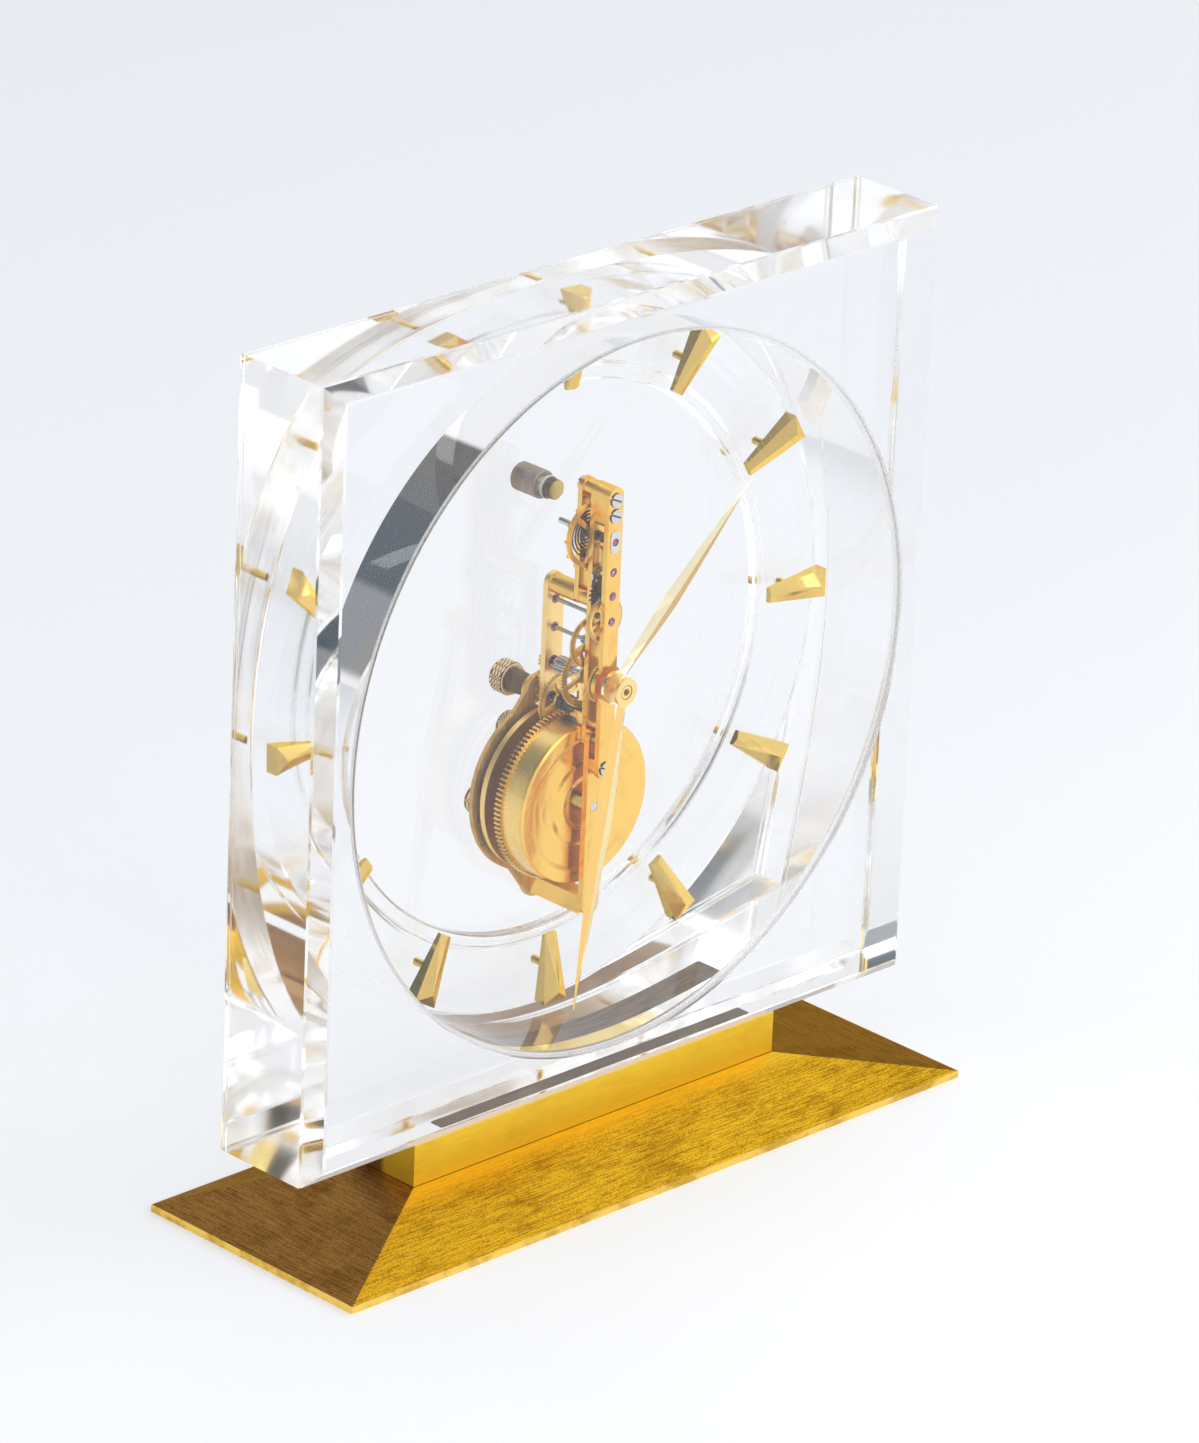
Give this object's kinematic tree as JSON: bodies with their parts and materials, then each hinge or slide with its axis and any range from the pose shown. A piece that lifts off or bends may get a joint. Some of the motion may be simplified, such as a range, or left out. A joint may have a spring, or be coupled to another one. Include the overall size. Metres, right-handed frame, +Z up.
{
  "type": "skeleton desk clock",
  "caption": "Square clear-cased desk clock on a stepped brass foot, with an in-line skeleton movement, raised gold hour markers, leaf hands and rear winding and setting knobs.",
  "frame": {"origin": "on the floor under the middle of the foot", "axes": "+X to the right seen from the front, +Y to the back, +Z up; the dial faces -Y"},
  "size_m": [0.184, 0.0636, 0.2012],
  "materials": {
    "clear_acrylic": "clear and polished",
    "clear_glass": "clear and polished",
    "satin_brass": "satin, brushed along its length",
    "polished_gold": "polished gold plate",
    "gilt_brass": "gilt, lightly brushed",
    "dull_brass": "dull brown-gold",
    "knurled_brass": "knurled, dull",
    "polished_steel": "polished",
    "dark_steel": "hardened, dark",
    "spring_steel": "tempered blue-grey",
    "ruby": "polished"
  },
  "bodies": {
    "case_body": {"base_plinth": "satin_brass", "neck_bar": "satin_brass", "base_screws": "polished_steel", "acrylic_case": "clear_acrylic", "front_glass": "clear_glass", "rear_panel": "clear_acrylic", "hour_marker_1": "polished_gold", "hour_marker_2": "polished_gold", "hour_marker_3": "polished_gold", "hour_marker_4": "polished_gold", "hour_marker_5": "polished_gold", "hour_marker_6": "polished_gold", "hour_marker_7": "polished_gold", "hour_marker_8": "polished_gold", "hour_marker_9": "polished_gold", "hour_marker_10": "polished_gold", "hour_marker_11": "polished_gold", "hour_marker_12": "polished_gold", "main_plate": "gilt_brass", "rear_plate": "dull_brass", "barrel_bridge": "gilt_brass", "front_bridge": "gilt_brass", "train_bridge": "gilt_brass", "balance_bridge": "gilt_brass", "frame_pillars": "gilt_brass", "jewels": "ruby", "shock_setting": "polished_steel", "bridge_screws": "polished_steel", "thumb_screws": "knurled_brass", "access_plug": "knurled_brass", "shaft_bushes": "gilt_brass", "click_spring": "polished_steel", "hairspring": "spring_steel"},
    "barrel_body": {"barrel_drum": "gilt_brass", "barrel_cover": "gilt_brass", "mainspring": "spring_steel"},
    "winder_body": {"barrel_arbor": "polished_steel", "ratchet_wheel": "polished_steel", "winding_knob": "knurled_brass"},
    "click_body": {"click": "polished_steel"},
    "intermediate_body": {"intermediate_arbor": "dark_steel", "intermediate_wheel": "gilt_brass"},
    "centre_body": {"centre_arbor": "dark_steel", "centre_wheel": "gilt_brass", "cannon_pinion": "polished_steel", "setting_wheel": "gilt_brass", "minute_hand": "polished_gold", "hand_nut": "polished_gold"},
    "hour_body": {"hour_wheel": "gilt_brass", "hour_hand": "polished_gold"},
    "motion_body": {"minute_wheel": "gilt_brass"},
    "third_body": {"third_wheel": "gilt_brass"},
    "fourth_body": {"fourth_wheel": "gilt_brass"},
    "escape_body": {"escape_wheel": "polished_steel"},
    "lever_body": {"pallet_lever": "polished_steel"},
    "balance_body": {"balance_wheel": "gilt_brass", "balance_staff": "polished_steel"},
    "idler_body": {"setting_idler": "gilt_brass"},
    "setter_body": {"setting_arbor": "polished_steel", "setting_knob": "knurled_brass"}
  },
  "joints": [
    {"name": "centre_turn", "type": "hinge", "parent": "case_body", "child": "centre_body", "pos_m": [0, 0, 0.1112], "axis": [0, 1, 0], "continuous": true},
    {"name": "hour_turn", "type": "hinge", "parent": "case_body", "child": "hour_body", "pos_m": [0, 0, 0.1112], "axis": [0, 1, 0], "continuous": true},
    {"name": "motion_turn", "type": "hinge", "parent": "case_body", "child": "motion_body", "pos_m": [0, 0, 0.1057], "axis": [0, 1, 0], "continuous": true},
    {"name": "intermediate_turn", "type": "hinge", "parent": "case_body", "child": "intermediate_body", "pos_m": [0, 0, 0.103], "axis": [0, 1, 0], "continuous": true},
    {"name": "barrel_turn", "type": "hinge", "parent": "case_body", "child": "barrel_body", "pos_m": [0, 0, 0.082], "axis": [0, 1, 0], "continuous": true},
    {"name": "third_turn", "type": "hinge", "parent": "case_body", "child": "third_body", "pos_m": [0, 0, 0.1192], "axis": [0, 1, 0], "continuous": true},
    {"name": "fourth_turn", "type": "hinge", "parent": "case_body", "child": "fourth_body", "pos_m": [0, 0, 0.1257], "axis": [0, 1, 0], "continuous": true},
    {"name": "escape_turn", "type": "hinge", "parent": "case_body", "child": "escape_body", "pos_m": [0, 0, 0.1315], "axis": [0, 1, 0], "continuous": true},
    {"name": "idler_turn", "type": "hinge", "parent": "case_body", "child": "idler_body", "pos_m": [0, 0, 0.1071], "axis": [0, 1, 0], "continuous": true},
    {"name": "setting_turn", "type": "hinge", "parent": "case_body", "child": "setter_body", "pos_m": [0, 0, 0.103], "axis": [0, 1, 0], "continuous": true},
    {"name": "winding_turn", "type": "hinge", "parent": "case_body", "child": "winder_body", "pos_m": [0, 0, 0.082], "axis": [0, 1, 0], "continuous": true},
    {"name": "click_lift", "type": "hinge", "parent": "case_body", "child": "click_body", "pos_m": [0.00745, 0, 0.0863], "axis": [0, 1, 0], "range_deg": [0, 12]},
    {"name": "balance_swing", "type": "hinge", "parent": "case_body", "child": "balance_body", "pos_m": [0, 0, 0.1439], "axis": [0, 1, 0], "range_deg": [-135, 135], "stiffness_Nm_per_rad": 0.000004},
    {"name": "lever_rock", "type": "hinge", "parent": "case_body", "child": "lever_body", "pos_m": [0, 0, 0.137], "axis": [0, 1, 0], "range_deg": [-4.2, 4.2]}
  ],
  "couplings": [
    {"joint": "hour_turn", "follows": "centre_turn", "ratio": 0.083333},
    {"joint": "motion_turn", "follows": "centre_turn", "ratio": -0.33333},
    {"joint": "intermediate_turn", "follows": "centre_turn", "ratio": -0.28},
    {"joint": "barrel_turn", "follows": "centre_turn", "ratio": 0.025926},
    {"joint": "third_turn", "follows": "centre_turn", "ratio": -8},
    {"joint": "fourth_turn", "follows": "centre_turn", "ratio": 60},
    {"joint": "escape_turn", "follows": "centre_turn", "ratio": -360},
    {"joint": "idler_turn", "follows": "centre_turn", "ratio": -1},
    {"joint": "setting_turn", "follows": "centre_turn", "ratio": 1},
    {"joint": "lever_rock", "follows": "balance_swing", "ratio": -0.03}
  ]
}
